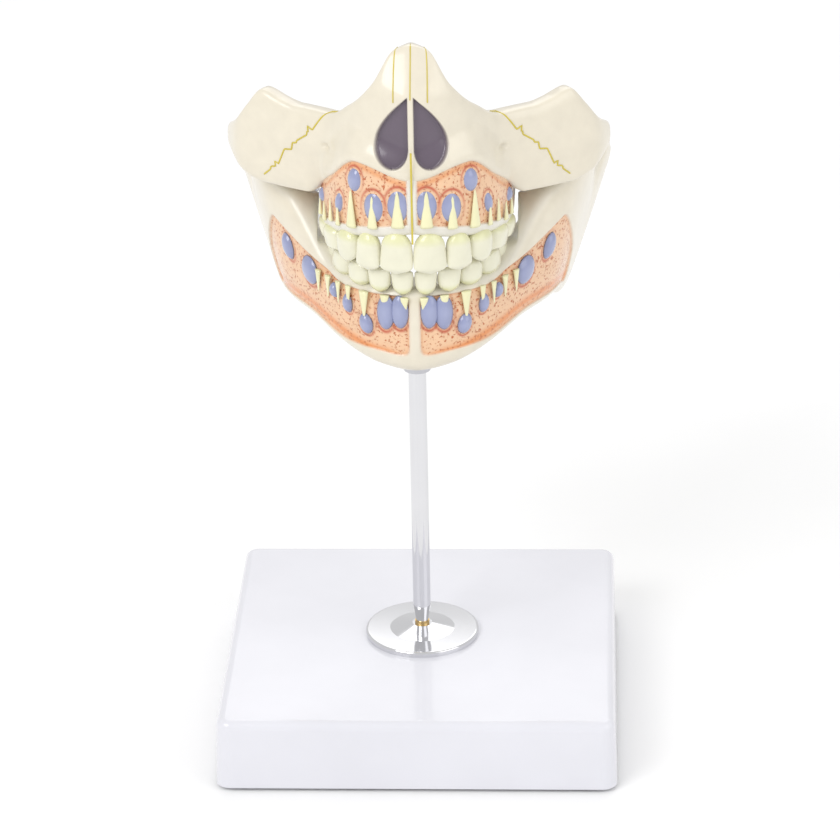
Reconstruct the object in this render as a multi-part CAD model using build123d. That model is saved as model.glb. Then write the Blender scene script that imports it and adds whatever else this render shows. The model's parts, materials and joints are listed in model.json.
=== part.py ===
"""Child's dentition model: two hinged jaws on a rod and a square moulded stand.

Frame: millimetres, +Z up, -Y towards the face's front, origin on the table under the rod.
Each function below makes one kind of piece; main() cuts the fits and writes one STEP per node.
"""

from build123d import *
import math
import os

# ---- Stand ----
base_width = 100.0
base_depth = 99.0
base_top_z = 19.3
base_draft = 2.0          # degrees, the moulding widens downwards
base_corner_radius = 4.0
base_edge_radius = 2.2
base_wall = 2.6
sheet_thickness = 1.0     # non-slip sheet stuck under the cover
sheet_inset = 1.0         # from the shell's side to the sheet's edge
cover_thickness = 1.6
cover_gap = 0.15
boss_radius = 7.5

# ---- Rod and its fittings ----
rod_radius = 2.28
rod_taper_height = 4.6
rod_tip_bevel = 0.6
stud_radius = 1.5
stud_shoulder = 0.1       # step from the stud to the rod's foot
stud_reach = 1.0          # past the nut
running_gap = 0.04
flange_radius = 14.7
flange_thickness = 1.5
flange_edge_radius = 0.6
dome_radius = 8.4
dome_top_radius = 2.6
dome_height = 1.3
ferrule_radius = 1.9
ferrule_height = 0.7
washer_radius = 6.0
washer_thickness = 1.0
nut_across_flats = 5.5
nut_height = 2.4
rod_grip = 12.0           # length of rod inside the chin
bush_wall = 1.1
overshoot = 2.0           # how far the bush's hole is cut past the chin

# ---- Lower jaw: heights in both jaws are above the chin's underside ----
chin_height = 75.1        # chin's underside above the stand's top
chin_bottom_z = 0.0
chin_front_y = -8.2
chin_back_y = 6.4
lower_crest_z = 24.2
border_arch_rise = 5.0    # the lower border rises this much between chin and angle
angle_x = 40.0            # outer half width at the jaw angle
angle_y = 51.0
condyle_x = 51.0          # outer half width at the condyles
condyle_y = 60.0
condyle_top_z = 41.6
condyle_radius = 5.6
coronoid_y = 43.0
coronoid_top_z = 44.6
ramus_front_y = 22.0
ramus_thickness = 7.4
spring_pad = 13.6         # width of the bone under the springs

# ---- Upper jaw ----
nose_top_z = 88.2
nose_top_y = -2.4
nose_rim_y = -9.2         # front of the nasal rim
nose_half_width = 6.2     # the nasal bones, measured at the rim
orbit_low_z = 66.0
orbit_x = 22.4
orbit_y = 7.6             # front of the lower rim of the eye socket
tip_z = 68.6             # top of the cheek bone's upright process
tip_x = 37.9
cheek_x = 46.8            # outer half width at the cheek bones
cheek_back_y = 35.0
cheek_low_z = 41.2
cheek_inner_x = 28.0      # where the cheek bone's lower border meets the tooth-bearing ridge
mask_thickness = 9.0
buttress_front_y = 17.0   # front of the bone that carries the cheek
upper_crest_z = 41.0
alveolar_half_width = 24.8
alveolar_front_y = -10.9
alveolar_depth = 27.6     # front of the arch to where its arms run straight
alveolar_back_y = 31.0
alveolar_wall = 9.6
alveolar_top_z = 57.6
palate_z = 50.6
nasal_half_width = 9.4
nasal_low_z = 55.6
nasal_top_z = 75.8
nasal_depth = 6.0
septum_width = 1.4

# ---- Teeth ----
bite_z = 30.6            # height where the teeth meet
bite_gap = 0.3
upper_arch_half_width = 24.2
upper_arch_front_y = -10.6
upper_arch_depth = 27.2
lower_arch_half_width = 22.4
lower_arch_front_y = -7.9
lower_arch_depth = 24.8
tooth_gap = 0.25          # between neighbouring crowns
molar_corner = 0.34       # corner radius of a molar as a share of its width
arch_inset = 4.0          # from the crowns' outer line to the line of their centres
root_tip_radius = 0.35
root_overlap = 0.5        # how far a root runs up into its crown
# name: width along the arch, thickness across it, root length, root count
upper_teeth = {
    "central_incisor": (7.0, 5.0, 8.5, 1),
    "lateral_incisor": (5.9, 4.7, 8.0, 1),
    "canine": (6.7, 5.8, 9.0, 1),
    "first_molar": (7.2, 7.6, 7.0, 2),
    "second_molar": (8.6, 8.6, 7.0, 2),
}
lower_teeth = {
    "central_incisor": (4.7, 4.2, 7.5, 1),
    "lateral_incisor": (5.2, 4.2, 7.5, 1),
    "canine": (6.0, 5.2, 9.0, 1),
    "first_molar": (7.6, 7.0, 8.0, 2),
    "second_molar": (9.2, 8.2, 8.0, 2),
}

# ---- Permanent tooth germs set in the windows of the bone ----
# Each germ is placed from the primary tooth that it lies under, over or behind.
germ_depth = 1.0
germ_stand_proud = 0.5
# name: primary tooth, shift from its middle in tooth widths, height above the crest, width, height, tilt
upper_germs = {
    "central": ("central_incisor", 0.0, 7.0, 5.0, 7.5, 0),
    "lateral": ("lateral_incisor", 0.0, 6.0, 5.5, 7.0, -4),
    "canine": ("canine", -0.1, 12.0, 5.0, 6.5, -8),
    "first_premolar": ("first_molar", -0.25, 4.0, 3.5, 6.0, -12),
    "second_premolar": ("second_molar", 0.25, 2.5, 4.5, 4.0, -10),
}
lower_germs = {
    "central": ("central_incisor", 0.2, -6.0, 3.5, 7.0, 0),
    "lateral": ("lateral_incisor", 0.0, -6.5, 4.0, 7.5, -4),
    "canine": ("canine", 0.0, -10.0, 4.0, 5.5, 12),
    "first_premolar": ("first_molar", -0.15, -6.0, 3.0, 5.0, 4),
    "second_premolar": ("second_molar", -0.5, -4.0, 3.0, 4.0, 6),
    "first_molar": ("second_molar", 0.75, -2.5, 7.0, 7.5, 10),
    "second_molar": ("second_molar", 1.75, 1.0, 4.5, 7.0, 10),
}

# ---- Springs between the jaws ----
spring_x = 29.6
spring_y = 31.0
spring_radius = 3.6       # to the wire's centre
spring_wire = 0.8         # wire diameter
spring_turns = 9
spring_low_z = 26.2
spring_high_z = 41.8
cup_gap = 0.15
cup_wall = 0.6
cup_height = 1.6
pocket_gap = 0.9          # room round the spring and its cups
pocket_reach = 20.0       # height cleared over each seat
screw_head_radius = 2.1
screw_head_height = 1.2
screw_radius = 1.1
screw_length = 8.0


# ---- Worked out from the driving dimensions ----
shell_bottom_z = sheet_thickness
band_low_z = chin_bottom_z - 1
band_high_z = coronoid_top_z + 1
flange_bottom_z = base_top_z
dome_top_z = flange_bottom_z + flange_thickness + dome_height
ferrule_top_z = dome_top_z + ferrule_height
panel_bottom_z = base_top_z - base_wall
chin_z = base_top_z + chin_height
rod_top_z = chin_z + rod_grip
bush_radius = rod_radius + running_gap + bush_wall
bush_height = rod_grip + running_gap + bush_wall
cup_radius = spring_radius + spring_wire / 2 + cup_gap + cup_wall
pocket_radius = cup_radius + pocket_gap
lower_seat_z = spring_low_z - cup_wall
upper_seat_z = spring_high_z + cup_wall


def revolved(*points):
    """A solid of revolution about Z from the corners (radius, height) of its half section."""
    profile = make_face(Polyline(*[(r, 0, z) for r, z in points], close=True).edges())
    return revolve(profile, Axis.Z, 360)


def mirrored(shape):
    """The same piece on the other side of the middle plane."""
    return mirror(shape, Plane.YZ)


def both_sides(shape):
    return Compound(children=[shape, mirrored(shape)])


def plan_face(z, outer, inner):
    """A U-shaped plan outline at height z from outer and inner curve points on the right side."""
    left_outer = [(-x, y) for x, y in reversed(outer)]
    left_inner = [(-x, y) for x, y in reversed(inner)]
    outer_curve = Spline(*[(x, y, z) for x, y in left_outer + outer[1:]])
    inner_curve = Spline(*[(x, y, z) for x, y in left_inner + inner[1:]])
    ends = [Line(outer_curve @ 0, inner_curve @ 0), Line(outer_curve @ 1, inner_curve @ 1)]
    return make_face([outer_curve.edge(), inner_curve.edge(), *ends])


# ---------------------------------------------------------------- stand


def base_shell():
    height = base_top_z - shell_bottom_z
    spread = 2 * height * math.tan(math.radians(base_draft))
    block = extrude(
        Pos(0, 0, shell_bottom_z)
        * RectangleRounded(base_width + spread, base_depth + spread, base_corner_radius),
        height,
        taper=base_draft,
    )
    block = fillet(block.faces().sort_by(Axis.Z)[-1].edges(), base_edge_radius)
    room = Pos(0, 0, shell_bottom_z) * RectangleRounded(
        base_width - 2 * base_wall, base_depth - 2 * base_wall, base_corner_radius
    )
    shell = block - extrude(room, height - base_wall)
    boss = Pos(0, 0, panel_bottom_z - base_wall) * Cylinder(
        boss_radius, base_wall, align=(Align.CENTER, Align.CENTER, Align.MIN)
    )
    stud_hole = Cylinder(stud_radius + running_gap, 3 * base_top_z)
    return shell + boss - stud_hole


def base_cover():
    plate = Pos(0, 0, shell_bottom_z) * RectangleRounded(
        base_width - 2 * (base_wall + cover_gap),
        base_depth - 2 * (base_wall + cover_gap),
        base_corner_radius - cover_gap,
    )
    return extrude(plate, cover_thickness)


def non_slip_sheet():
    """Soft sheet stuck under the stand, flat on the table."""
    outline = RectangleRounded(
        base_width - 2 * sheet_inset, base_depth - 2 * sheet_inset, base_corner_radius - sheet_inset
    )
    return extrude(outline, sheet_thickness)


def flange():
    """Pressed disc with a low dome in the middle and a hole for the stud."""
    z0 = flange_bottom_z
    z1 = z0 + flange_thickness
    disc = revolved((0, z0), (flange_radius, z0), (flange_radius, z1), (0, z1))
    disc = fillet(disc.edges().filter_by(GeomType.CIRCLE).group_by(Axis.Z)[-1], flange_edge_radius)
    dome_side = [(dome_radius, z0), (dome_radius, z1), (dome_top_radius, dome_top_z)]
    dome = revolved((0, z0), *dome_side, (0, dome_top_z))
    stud_hole = Cylinder(stud_radius + running_gap, 4 * (flange_thickness + dome_height))
    return disc + dome - Pos(0, 0, z0) * stud_hole


def ferrule():
    """Brass collar that the rod's shoulder sits on."""
    ring = revolved(
        (stud_radius + running_gap, dome_top_z),
        (ferrule_radius, dome_top_z),
        (ferrule_radius, ferrule_top_z),
        (stud_radius + running_gap, ferrule_top_z),
    )
    return ring


def rod():
    shoulder = stud_radius + stud_shoulder
    stud_bottom = panel_bottom_z - base_wall - washer_thickness - nut_height - stud_reach
    bar = revolved(
        (0, ferrule_top_z),
        (shoulder, ferrule_top_z),
        (rod_radius, ferrule_top_z + rod_taper_height),
        (rod_radius, rod_top_z - rod_tip_bevel),
        (rod_radius - rod_tip_bevel, rod_top_z),
        (0, rod_top_z),
    )
    stud = Pos(0, 0, stud_bottom) * Cylinder(
        stud_radius, ferrule_top_z - stud_bottom, align=(Align.CENTER, Align.CENTER, Align.MIN)
    )
    return bar + stud


def stud_washer():
    z1 = panel_bottom_z - base_wall
    z0 = z1 - washer_thickness
    hole = stud_radius + running_gap
    return revolved((hole, z0), (washer_radius, z0), (washer_radius, z1), (hole, z1))


def stud_nut():
    z1 = panel_bottom_z - base_wall - washer_thickness
    hexagon = RegularPolygon(nut_across_flats / 2, 6, major_radius=False)
    nut = extrude(Pos(0, 0, z1 - nut_height) * hexagon, nut_height)
    return nut - Pos(0, 0, z1) * Cylinder(stud_radius + running_gap, 3 * nut_height)


def chin_bush():
    """Metal sleeve set in the chin, closed at the top, that turns on the rod."""
    hole = rod_radius + running_gap
    roof = bush_height - bush_wall
    return revolved(
        (hole, chin_bottom_z),
        (bush_radius, chin_bottom_z),
        (bush_radius, bush_height),
        (0, bush_height),
        (0, roof),
        (hole, roof),
    )


# ---------------------------------------------------------------- jaws


def lower_outer(x_back, y_back):
    """Outer plan points of the right half of the lower jaw; x_back is the half width at the back."""
    return [
        (0, chin_front_y),
        (0.25 * angle_x, chin_front_y + 2.6),
        (0.46 * angle_x, chin_front_y + 8.6),
        (0.67 * angle_x, chin_front_y + 20.0),
        (0.28 * angle_x + 0.57 * x_back, 0.56 * angle_y),
        (0.93 * x_back, 0.95 * y_back),
        (x_back, y_back + 9.0),
    ]


def lower_plan(x_back, y_back, z):
    """Plan of the lower jaw at height z."""
    inner = [
        (0, chin_back_y),
        (0.2 * angle_x, chin_back_y + 1.6),
        (0.34 * angle_x, chin_back_y + 7.4),
        (0.44 * angle_x, chin_back_y + 16.0),
        (0.28 * angle_x + 0.57 * x_back - spring_pad, 0.56 * angle_y),
        (0.93 * x_back - ramus_thickness, 0.95 * y_back),
        (x_back - ramus_thickness, y_back + 9.0),
    ]
    return plan_face(z, lower_outer(x_back, y_back), inner)


def lower_surface(along, z):
    """Point on the lower jaw's outer face, a distance along it from the middle, and its heading."""
    share = (z - band_low_z) / (band_high_z - band_low_z)
    low = Spline(*lower_outer(angle_x, angle_y))
    high = Spline(*lower_outer(condyle_x + 1.0, condyle_y))
    point = (low @ (along / low.length)) * (1 - share) + (high @ (along / high.length)) * share
    ahead = (low % (along / low.length)) * (1 - share) + (high % (along / high.length)) * share
    return point.X, point.Y, math.degrees(math.atan2(ahead.Y, ahead.X))


def lower_side():
    """Side outline of the lower jaw, extruded across its whole width."""
    angle_z = chin_bottom_z + 0.8
    border = Spline(
        (0, chin_front_y - 1, chin_bottom_z + 3.5),
        (0, chin_front_y + 6.5, chin_bottom_z),
        (0, 0.5 * angle_y, chin_bottom_z + border_arch_rise),
        (0, angle_y - 5, angle_z),
        (0, angle_y + 4, angle_z + 4),
    )
    back = Spline(
        border @ 1,
        (0, condyle_y + 3.0, condyle_top_z - 16),
        (0, condyle_y + condyle_radius, condyle_top_z - condyle_radius),
        (0, condyle_y, condyle_top_z),
        (0, condyle_y - condyle_radius, condyle_top_z - condyle_radius),
        (0, 0.5 * (coronoid_y + condyle_y), condyle_top_z - 8.5),
        (0, coronoid_y + 1.6, coronoid_top_z - 2.0),
        (0, coronoid_y, coronoid_top_z),
    )
    front = Spline(
        back @ 1,
        (0, coronoid_y - 6.0, coronoid_top_z - 3.0),
        (0, ramus_front_y + 12.0, lower_crest_z + 15.6),
        (0, ramus_front_y + 7.0, lower_crest_z + 13.0),
        (0, ramus_front_y, lower_crest_z + 6.0),
        (0, ramus_front_y - 5.0, lower_crest_z + 1.2),
    )
    crest = Polyline(front @ 1, (0, chin_front_y - 1, lower_crest_z), border @ 0)
    face = make_face([border.edge(), back.edge(), front.edge(), *crest.edges()])
    return extrude(face, 2 * condyle_x, both=True)


def mandible():
    """The jaw's U-shaped band, cut to its side outline."""
    low = lower_plan(angle_x, angle_y, band_low_z)
    high = lower_plan(condyle_x + 1.0, condyle_y, band_high_z)
    return loft([low, high], ruled=True) & lower_side()


def mask_plan(z, ridge_y, ridge_half_width, shoulder_y, cheek_share):
    """Plan of the face's front plate at height z: nose ridge, eye-socket rim and cheek bone."""
    wide_x = cheek_share * cheek_x
    front = [
        (0, ridge_y),
        (ridge_half_width, ridge_y + 0.24 * (shoulder_y - ridge_y)),
        (0.55 * orbit_x, shoulder_y),
        (orbit_x, orbit_y + 0.3 * (shoulder_y - ridge_y)),
        (0.8 * wide_x, 0.52 * cheek_back_y),
        (wide_x, 0.8 * cheek_back_y),
        (0.985 * wide_x, cheek_back_y),
    ]
    rear = [
        (0, ridge_y + mask_thickness),
        (0.8 * ridge_half_width, ridge_y + 1.1 * mask_thickness),
        (0.45 * orbit_x, shoulder_y + 0.95 * mask_thickness),
        (0.82 * orbit_x, orbit_y + 0.9 * mask_thickness),
        (0.8 * wide_x - 0.55 * mask_thickness, 0.52 * cheek_back_y + 0.6 * mask_thickness),
        (wide_x - 0.9 * mask_thickness, 0.85 * cheek_back_y),
        (wide_x - 0.85 * mask_thickness, cheek_back_y),
    ]
    return plan_face(z, front, rear)


def mask_plate():
    """Front plate of the face lofted through plans from the cheeks' lower border to the nose's top."""
    middle_z = 0.5 * (cheek_low_z + orbit_low_z)
    plans = [
        mask_plan(cheek_low_z - 1, nose_rim_y + 1.6, 1.3 * nose_half_width, -3.5, 0.94),
        mask_plan(middle_z, nose_rim_y, 1.3 * nose_half_width, -4.0, 1.0),
        mask_plan(orbit_low_z + 1, nose_rim_y, 1.1 * nose_half_width, -1.0, 0.97),
        mask_plan(nasal_top_z + 1, nose_rim_y - 0.4, 0.8 * nose_half_width, 2.5, 0.94),
        mask_plan(nose_top_z + 1, nose_top_y, 0.8 * nose_half_width, 8.0, 0.92),
    ]
    return loft(plans)


def mask_front():
    """Front outline of the face plate, extruded from front to back."""
    top = Spline(
        (0, 0, nose_top_z),
        (0.17 * orbit_x, 0, nose_top_z - 1.2),
        (0.4 * orbit_x, 0, nose_top_z - 9.5),
        (0.64 * orbit_x, 0, orbit_low_z + 3.5),
        (orbit_x, 0, orbit_low_z),
        (0.5 * (orbit_x + tip_x), 0, orbit_low_z + 0.3),
        (tip_x - 1.6, 0, tip_z - 0.6),
        (tip_x + 1.2, 0, tip_z - 0.4),
        (0.5 * (tip_x + cheek_x), 0, tip_z - 5.5),
        (cheek_x, 0, 0.5 * (tip_z + cheek_low_z) - 2),
        (cheek_x - 2.2, 0, cheek_low_z + 4.5),
        (cheek_x - 7.5, 0, cheek_low_z),
    )
    bottom = Polyline(
        top @ 1,
        (cheek_inner_x, 0, cheek_low_z),
        (0.68 * cheek_inner_x, 0, alveolar_top_z - 2.5),
        (0.5 * cheek_inner_x, 0, alveolar_top_z - 1),
        (0, 0, nasal_low_z - 1),
        top @ 0,
    )
    right = make_face([top.edge(), *bottom.edges()])
    return extrude(right + mirrored(right), 2 * cheek_back_y, both=True)


def arch_outline(half_width, front_y, depth, back_y):
    """Half an ellipse at the front with straight arms running back."""
    front = Pos(0, front_y + depth) * Ellipse(half_width, depth)
    arms_length = back_y - front_y - depth
    front_half = Pos(0, front_y) * Rectangle(3 * half_width, depth, align=(Align.CENTER, Align.MIN))
    arms = Pos(0, front_y + depth) * Rectangle(2 * half_width, arms_length, align=(Align.CENTER, Align.MIN))
    return (front & front_half) + arms


def nasal_recess(side):
    """Pear-shaped pocket on one side of the nasal septum."""
    inner_x = side * septum_width / 2
    width = side * nasal_half_width
    height = nasal_top_z - nasal_low_z
    pear = Spline(
        (inner_x, 0, nasal_top_z),
        (0.55 * width, 0, nasal_low_z + 0.68 * height),
        (width, 0, nasal_low_z + 0.28 * height),
        (0.72 * width, 0, nasal_low_z + 0.04 * height),
        (0.36 * width, 0, nasal_low_z + 0.03 * height),
        (inner_x, 0, nasal_low_z + 0.22 * height),
    )
    face = make_face([pear.edge(), Line(pear @ 1, pear @ 0).edge()])
    return Pos(0, nose_rim_y + nasal_depth, 0) * extrude(face, 3 * nasal_depth, dir=(0, -1, 0))


def maxilla():
    arch = arch_outline(alveolar_half_width, alveolar_front_y, alveolar_depth, alveolar_back_y)
    vault = arch_outline(
        alveolar_half_width - alveolar_wall,
        alveolar_front_y + alveolar_wall,
        alveolar_depth - alveolar_wall,
        alveolar_back_y,
    )
    alveolar = extrude(Pos(0, 0, upper_crest_z) * arch, alveolar_top_z - upper_crest_z)
    alveolar -= extrude(Pos(0, 0, upper_crest_z - 1) * vault, palate_z - upper_crest_z + 1)
    buttress = Polyline(
        (0.8 * alveolar_half_width, buttress_front_y),
        (0.72 * cheek_x, buttress_front_y),
        (0.8 * cheek_x, cheek_back_y - 1),
        (0.8 * alveolar_half_width, cheek_back_y - 1),
        close=True,
    )
    cheek_root = extrude(Pos(0, 0, cheek_low_z) * make_face(buttress.edges()), alveolar_top_z - cheek_low_z)
    body = (mask_plate() & mask_front()) + alveolar + cheek_root + mirrored(cheek_root)
    return body - nasal_recess(1) - nasal_recess(-1)


# ---------------------------------------------------------------- teeth and germs


def arch_place(half_width, front_y, depth, distance):
    """Point and outward heading (degrees from -Y) on the arch, a distance along it from the middle."""
    steps = 400
    travelled = 0.0
    x, y = 0.0, front_y
    for i in range(1, steps + 1):
        turn = math.pi / 2 * i / steps
        nx = half_width * math.sin(turn)
        ny = front_y + depth * (1 - math.cos(turn))
        travelled += math.hypot(nx - x, ny - y)
        x, y = nx, ny
        if travelled >= distance:
            break
    heading = math.degrees(math.atan2(depth * math.sin(turn), half_width * math.cos(turn)))
    return x, y + max(0.0, distance - travelled), heading


def crown(kind, width, thickness, height):
    """Crown along +Z from its neck, width along X, outer face towards -Y."""
    if "molar" in kind:
        sections = [
            RectangleRounded(0.84 * width, 0.86 * thickness, molar_corner * width),
            Pos(0, 0, 0.45 * height) * RectangleRounded(width, thickness, molar_corner * width),
            Pos(0, 0, height) * RectangleRounded(0.86 * width, 0.74 * thickness, 0.85 * molar_corner * width),
        ]
    else:
        edge_width = 0.45 * width if kind == "canine" else 0.94 * width
        sections = [
            Pos(0, 0, 0) * Ellipse(0.37 * width, 0.5 * thickness),
            Pos(0, 0, 0.5 * height) * Ellipse(0.5 * width, 0.42 * thickness),
            Pos(0, 0, height) * Ellipse(0.5 * edge_width, 0.2 * thickness),
        ]
    return loft(sections)


def tooth(kind, width, thickness, root_length, root_count, crown_height):
    """A whole tooth, its neck at z = 0 and its roots running down -Z."""
    body = crown(kind, width, thickness, crown_height)
    for i in range(root_count):
        shift = (i - (root_count - 1) / 2) * 0.5 * width
        neck_radius = 0.27 * width if root_count == 1 else 0.2 * width
        root = Cone(root_tip_radius, neck_radius, root_length, align=(Align.CENTER, Align.CENTER, Align.MAX))
        plug = Cylinder(neck_radius, root_overlap, align=(Align.CENTER, Align.CENTER, Align.MIN))
        body += Pos(shift, 0, 0) * (root + plug)
    return body


def tooth_middles(teeth):
    """How far round the arch each tooth's middle is, with the teeth side by side."""
    middles = {}
    travelled = tooth_gap / 2
    for kind, (width, *_) in teeth.items():
        middles[kind] = travelled + width / 2
        travelled += width + tooth_gap
    return middles


def row_of_teeth(teeth, half_width, front_y, depth, crest_z, upwards):
    """The teeth of one arch's +X half, side by side along the line of their centres."""
    made = {}
    middles = tooth_middles(teeth)
    for kind, (width, thickness, root_length, root_count) in teeth.items():
        x, y, heading = arch_place(
            half_width - arch_inset, front_y + arch_inset, depth - arch_inset, middles[kind]
        )
        outward = math.radians(heading)
        shift = arch_inset - thickness / 2
        x += shift * math.sin(outward)
        y -= shift * math.cos(outward)
        height = abs(bite_z - crest_z) - bite_gap / 2
        solid = tooth(kind, width, thickness, root_length, root_count, height)
        if not upwards:
            solid = Rot(0, 180, 0) * solid
        made[kind] = Pos(x, y, crest_z) * Rot(0, 0, heading) * solid
    return made


def germ_places(germs, teeth):
    """Distance round the jaw's face, height, width, height and tilt of each germ of one jaw."""
    middles = tooth_middles(teeth)
    return [
        (middles[tooth] + shift * teeth[tooth][0], up, width, height, tilt)
        for tooth, shift, up, width, height, tilt in germs.values()
    ]


def germ(width, height, tilt):
    """Oval button, its flat face towards -Y, with a rounded rim."""
    oval = Plane.XZ * Rot(0, 0, tilt) * Ellipse(width / 2, height / 2)
    button = extrude(oval, germ_depth + germ_stand_proud)
    front = button.faces().sort_by(Axis.Y)[0]
    return Pos(0, germ_depth, 0) * fillet(front.edges(), 0.8 * germ_stand_proud)


def upper_germ_row():
    """The +X half's germs of the upper jaw, on the tooth-bearing ridge."""
    made = []
    for along, up, width, height, tilt in germ_places(upper_germs, upper_teeth):
        x, y, heading = arch_place(alveolar_half_width, alveolar_front_y, alveolar_depth, along)
        place = Pos(x, y, upper_crest_z + up) * Rot(0, 0, heading)
        made.append(place * germ(width, height, tilt))
    return made


def lower_germ_row():
    """The +X half's germs of the lower jaw, on its outer face."""
    made = []
    for along, up, width, height, tilt in germ_places(lower_germs, lower_teeth):
        x, y, heading = lower_surface(along, lower_crest_z + up)
        place = Pos(x, y, lower_crest_z + up) * Rot(0, 0, heading)
        made.append(place * germ(width, height, tilt))
    return made


# ---------------------------------------------------------------- springs


def spring():
    """Right-hand coil spring between the jaws, its end turns in the cups."""
    coil_height = spring_high_z - spring_low_z - spring_wire
    helix = Helix(coil_height / spring_turns, coil_height, spring_radius)
    path = Pos(0, 0, spring_low_z + spring_wire / 2) * helix
    section = Plane(origin=path @ 0, z_dir=path % 0) * Circle(spring_wire / 2)
    return Pos(spring_x, spring_y, 0) * sweep(section, path=path, is_frenet=True)


def spring_cup(seat_z, direction):
    """Shallow cup that holds an end turn; direction is 1 where it opens upwards."""
    inner = cup_radius - cup_wall
    hole = screw_radius + running_gap
    cup = revolved(
        (hole, 0),
        (cup_radius, 0),
        (cup_radius, cup_height),
        (inner, cup_height),
        (inner, cup_wall),
        (hole, cup_wall),
    )
    if direction < 0:
        cup = Rot(180, 0, 0) * cup
    return Pos(spring_x, spring_y, seat_z) * cup


def spring_screw(seat_z, direction):
    """Pan-head screw through the cup into the bone."""
    screw = revolved(
        (0, cup_wall + screw_head_height),
        (0.6 * screw_head_radius, cup_wall + screw_head_height),
        (screw_head_radius, cup_wall + 0.5 * screw_head_height),
        (screw_head_radius, cup_wall),
        (screw_radius, cup_wall),
        (screw_radius, -screw_length),
        (0, -screw_length),
    )
    if direction < 0:
        screw = Rot(180, 0, 0) * screw
    return Pos(spring_x, spring_y, seat_z) * screw


def spring_pocket(seat_z, direction):
    """Room to cut for one spring end, from its seat outwards and open towards the mouth."""
    align = (Align.CENTER, Align.CENTER, Align.MIN if direction > 0 else Align.MAX)
    slot = Pos(-pocket_radius, 0, 0) * Box(2 * pocket_radius, 2 * pocket_radius, pocket_reach, align=align)
    return Pos(spring_x, spring_y, seat_z) * (Cylinder(pocket_radius, pocket_reach, align=align) + slot)


def screw_hole(seat_z):
    return Pos(spring_x, spring_y, seat_z) * Cylinder(screw_radius, 2 * screw_length)


# ---------------------------------------------------------------- assembly


def cut(body, tools):
    for tool in tools:
        body -= tool
    return body


def main():
    os.makedirs("parts", exist_ok=True)
    upper = row_of_teeth(
        upper_teeth, upper_arch_half_width, upper_arch_front_y, upper_arch_depth, upper_crest_z, upwards=False
    )
    lower = row_of_teeth(
        lower_teeth, lower_arch_half_width, lower_arch_front_y, lower_arch_depth, lower_crest_z, upwards=True
    )
    germs = {"upper": upper_germ_row(), "lower": lower_germ_row()}
    cups = {"upper": spring_cup(upper_seat_z, -1), "lower": spring_cup(lower_seat_z, 1)}
    screws = {"upper": spring_screw(upper_seat_z, -1), "lower": spring_screw(lower_seat_z, 1)}

    bush_hole = Pos(0, 0, chin_bottom_z - overshoot) * Cylinder(
        bush_radius + running_gap,
        bush_height + running_gap + overshoot,
        align=(Align.CENTER, Align.CENTER, Align.MIN),
    )
    lower_cuts = [*lower.values(), *germs["lower"], spring_pocket(lower_seat_z, 1), screw_hole(lower_seat_z)]
    upper_cuts = [*upper.values(), *germs["upper"], spring_pocket(upper_seat_z, -1), screw_hole(upper_seat_z)]
    stand = {
        "base_shell": base_shell(),
        "base_cover": base_cover(),
        "non_slip_sheet": non_slip_sheet(),
        "flange": flange(),
        "rod_ferrule": ferrule(),
        "rod": rod(),
        "stud_washer": stud_washer(),
        "stud_nut": stud_nut(),
    }
    jaws = {
        "chin_bush": chin_bush(),
        "mandible": cut(mandible(), [bush_hole, *lower_cuts, *map(mirrored, lower_cuts)]),
        "maxilla": cut(maxilla(), [*upper_cuts, *map(mirrored, upper_cuts)]),
        "left_spring": spring(),
        "right_spring": mirrored(spring()),
    }
    for jaw, teeth in (("upper", upper), ("lower", lower)):
        for kind, solid in teeth.items():
            jaws[f"{jaw}_left_{kind}"] = solid
            jaws[f"{jaw}_right_{kind}"] = mirrored(solid)
        jaws[f"{jaw}_left_germs"] = Compound(children=germs[jaw])
        jaws[f"{jaw}_right_germs"] = Compound(children=[mirrored(each) for each in germs[jaw]])
        jaws[f"{jaw}_spring_cups"] = both_sides(cups[jaw])
        jaws[f"{jaw}_spring_screws"] = both_sides(screws[jaw])
    for name, shape in stand.items():
        export_step(shape, f"parts/{name}.step")
    for name, shape in jaws.items():
        export_step(Pos(0, 0, chin_z) * shape, f"parts/{name}.step")


main()
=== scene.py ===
"""Looks of a child's dentition model: painted, lacquered jaws on a chromed rod and a moulded stand.

Lengths below are millimetres, +Z up, -Y the way the face looks. to_metres turns them into the frame's metres.
Sizes and places that both models share repeat the solid model's own named values.
"""
import json
import math

import bpy
import numpy as np
from mathutils import Matrix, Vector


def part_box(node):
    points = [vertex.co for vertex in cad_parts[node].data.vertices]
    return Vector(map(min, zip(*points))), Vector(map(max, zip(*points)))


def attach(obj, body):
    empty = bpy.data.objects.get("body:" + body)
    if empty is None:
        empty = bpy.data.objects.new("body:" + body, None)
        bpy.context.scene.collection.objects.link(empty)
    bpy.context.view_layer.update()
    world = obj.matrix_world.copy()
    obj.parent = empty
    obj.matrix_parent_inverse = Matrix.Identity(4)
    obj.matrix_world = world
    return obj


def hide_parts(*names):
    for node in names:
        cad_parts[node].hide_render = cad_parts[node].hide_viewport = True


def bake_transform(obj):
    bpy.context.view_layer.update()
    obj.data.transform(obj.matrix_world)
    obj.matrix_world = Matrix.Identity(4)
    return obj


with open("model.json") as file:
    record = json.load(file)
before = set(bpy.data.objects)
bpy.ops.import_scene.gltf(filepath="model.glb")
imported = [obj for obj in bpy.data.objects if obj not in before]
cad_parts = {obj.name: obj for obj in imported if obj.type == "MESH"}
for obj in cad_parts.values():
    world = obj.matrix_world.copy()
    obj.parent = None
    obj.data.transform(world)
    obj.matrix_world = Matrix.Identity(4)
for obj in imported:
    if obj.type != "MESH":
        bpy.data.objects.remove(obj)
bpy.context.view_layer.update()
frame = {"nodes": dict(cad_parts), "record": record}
to_metres = 0.001

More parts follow.
